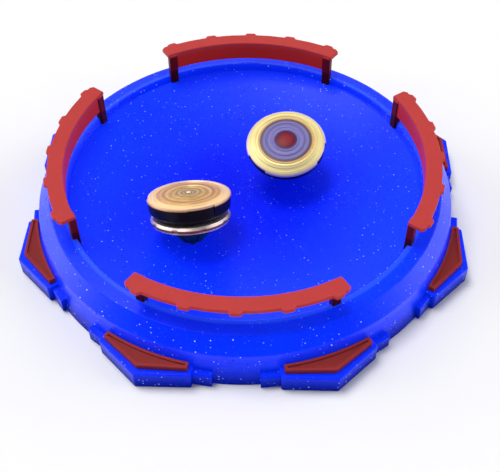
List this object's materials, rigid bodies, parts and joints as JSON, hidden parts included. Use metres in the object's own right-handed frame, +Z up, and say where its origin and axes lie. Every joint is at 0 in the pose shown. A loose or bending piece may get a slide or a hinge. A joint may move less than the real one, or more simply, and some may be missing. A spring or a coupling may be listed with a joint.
{
  "type": "battle top arena set",
  "caption": "Octagonal translucent arena with a shallow round dish, red plug-in rails and corner caps, and light-up battle tops spinning at a lean in the dish.",
  "frame": {"origin": "centre of the arena's foot, on the surface it stands on", "axes": "+Z up, -Y towards the front rail, +X to the right seen from the front"},
  "size_m": [0.251, 0.251, 0.0515],
  "materials": {
    "arena_blue": "translucent blue moulding with fine silver glitter",
    "rail_red": "translucent red, satin",
    "cap_red": "translucent brick red, satin",
    "layer_gold": "gold-coloured plating, slightly worn",
    "layer_black": "gloss black",
    "left_ring": "translucent amber light ring",
    "left_lens": "clear warm lens",
    "right_ring": "translucent lavender-grey light ring",
    "right_lens": "translucent dark red lens",
    "metal_disc": "die-cast, bronze tint, turned edge",
    "driver": "dark green",
    "plunger": "white acetal",
    "spring": "spring wire",
    "tip": "dark green, worn at the point",
    "bush": "turned",
    "board": "solder-masked circuit board",
    "emitter": "clear resin over a white base",
    "cell": "button cell can",
    "contact": "plated spring strip",
    "switch_base": "black moulding",
    "switch_weight": "plain",
    "screw": "blackened cross-head screw"
  },
  "bodies": {
    "arena": {"arena_shell": "arena_blue", "corner_cap_1": "cap_red", "corner_cap_2": "cap_red", "corner_cap_3": "cap_red", "corner_cap_4": "cap_red", "corner_cap_5": "cap_red", "corner_cap_6": "cap_red", "corner_cap_7": "cap_red", "corner_cap_8": "cap_red"},
    "front_rail": {"front_rail": "rail_red"},
    "right_rail": {"right_rail": "rail_red"},
    "back_rail": {"back_rail": "rail_red"},
    "left_rail": {"left_rail": "rail_red"},
    "left_top_foot": {"left_top_tip": "tip"},
    "left_top_driver": {"left_top_driver_base": "driver", "left_top_driver_housing": "driver", "left_top_tip_bush": "bush", "left_top_driver_spring": "spring", "left_top_metal_disc": "metal_disc"},
    "left_top_claw": {"left_top_plunger": "plunger"},
    "left_top_layer": {"left_top_layer_base": "layer_black", "left_top_layer_face": "layer_gold", "left_top_light_ring": "left_ring", "left_top_light_lens": "left_lens", "left_top_circuit_board": "board", "left_top_light_emitters": "emitter", "left_top_button_cells": "cell", "left_top_battery_contact": "contact", "left_top_switch_base": "switch_base", "left_top_layer_screws": "screw"},
    "left_top_switch": {"left_top_switch_weight": "switch_weight"},
    "right_top_foot": {"right_top_tip": "tip"},
    "right_top_driver": {"right_top_driver_base": "driver", "right_top_driver_housing": "driver", "right_top_tip_bush": "bush", "right_top_driver_spring": "spring", "right_top_metal_disc": "metal_disc"},
    "right_top_claw": {"right_top_plunger": "plunger"},
    "right_top_layer": {"right_top_layer_base": "layer_black", "right_top_layer_face": "layer_gold", "right_top_light_ring": "right_ring", "right_top_light_lens": "right_lens", "right_top_circuit_board": "board", "right_top_light_emitters": "emitter", "right_top_button_cells": "cell", "right_top_battery_contact": "contact", "right_top_switch_base": "switch_base", "right_top_layer_screws": "screw"},
    "right_top_switch": {"right_top_switch_weight": "switch_weight"}
  },
  "joints": [
    {"name": "front_rail_lift", "type": "slide", "parent": "arena", "child": "front_rail", "axis": [0, 0, 1], "range_m": [0, 0.03]},
    {"name": "right_rail_lift", "type": "slide", "parent": "arena", "child": "right_rail", "axis": [0, 0, 1], "range_m": [0, 0.03]},
    {"name": "back_rail_lift", "type": "slide", "parent": "arena", "child": "back_rail", "axis": [0, 0, 1], "range_m": [0, 0.03]},
    {"name": "left_rail_lift", "type": "slide", "parent": "arena", "child": "left_rail", "axis": [0, 0, 1], "range_m": [0, 0.03]},
    {"name": "left_top_lift", "type": "slide", "parent": "arena", "child": "left_top_foot", "axis": [0, 0, 1], "range_m": [0, 0.08]},
    {"name": "left_top_spin", "type": "hinge", "parent": "left_top_foot", "child": "left_top_driver", "pos_m": [-0.02823, -0.03794, 0.0227], "axis": [-0.0632, 0.4226, 0.9041], "continuous": true},
    {"name": "left_top_release_turn", "type": "hinge", "parent": "left_top_driver", "child": "left_top_layer", "pos_m": [-0.02899, -0.03287, 0.03355], "axis": [-0.0632, 0.4226, 0.9041], "range_deg": [0, 50]},
    {"name": "left_top_claw_press", "type": "slide", "parent": "left_top_driver", "child": "left_top_claw", "axis": [0.0632, -0.4226, -0.9041], "range_m": [0, 0.0015], "stiffness_N_per_m": 50, "springref_m": -0.003, "deforming": ["left_top_driver_spring"]},
    {"name": "left_top_switch_throw", "type": "slide", "parent": "left_top_layer", "child": "left_top_switch", "axis": [0.9912, -0.079, 0.1062], "range_m": [0, 0.0012], "stiffness_N_per_m": 1, "springref_m": -0.001},
    {"name": "right_top_lift", "type": "slide", "parent": "arena", "child": "right_top_foot", "axis": [0, 0, 1], "range_m": [0, 0.08]},
    {"name": "right_top_spin", "type": "hinge", "parent": "right_top_foot", "child": "right_top_driver", "pos_m": [0.0246, 0.01969, 0.0213], "axis": [-0.0512, -0.2079, 0.9768], "continuous": true},
    {"name": "right_top_release_turn", "type": "hinge", "parent": "right_top_driver", "child": "right_top_layer", "pos_m": [0.02398, 0.01719, 0.03302], "axis": [-0.0512, -0.2079, 0.9768], "range_deg": [0, 50]},
    {"name": "right_top_claw_press", "type": "slide", "parent": "right_top_driver", "child": "right_top_claw", "axis": [0.0512, 0.2079, -0.9768], "range_m": [0, 0.0015], "stiffness_N_per_m": 50, "springref_m": -0.003, "deforming": ["right_top_driver_spring"]},
    {"name": "right_top_switch_throw", "type": "slide", "parent": "right_top_layer", "child": "right_top_switch", "axis": [0.758, 0.6287, 0.1736], "range_m": [0, 0.0012], "stiffness_N_per_m": 1, "springref_m": -0.001}
  ]
}
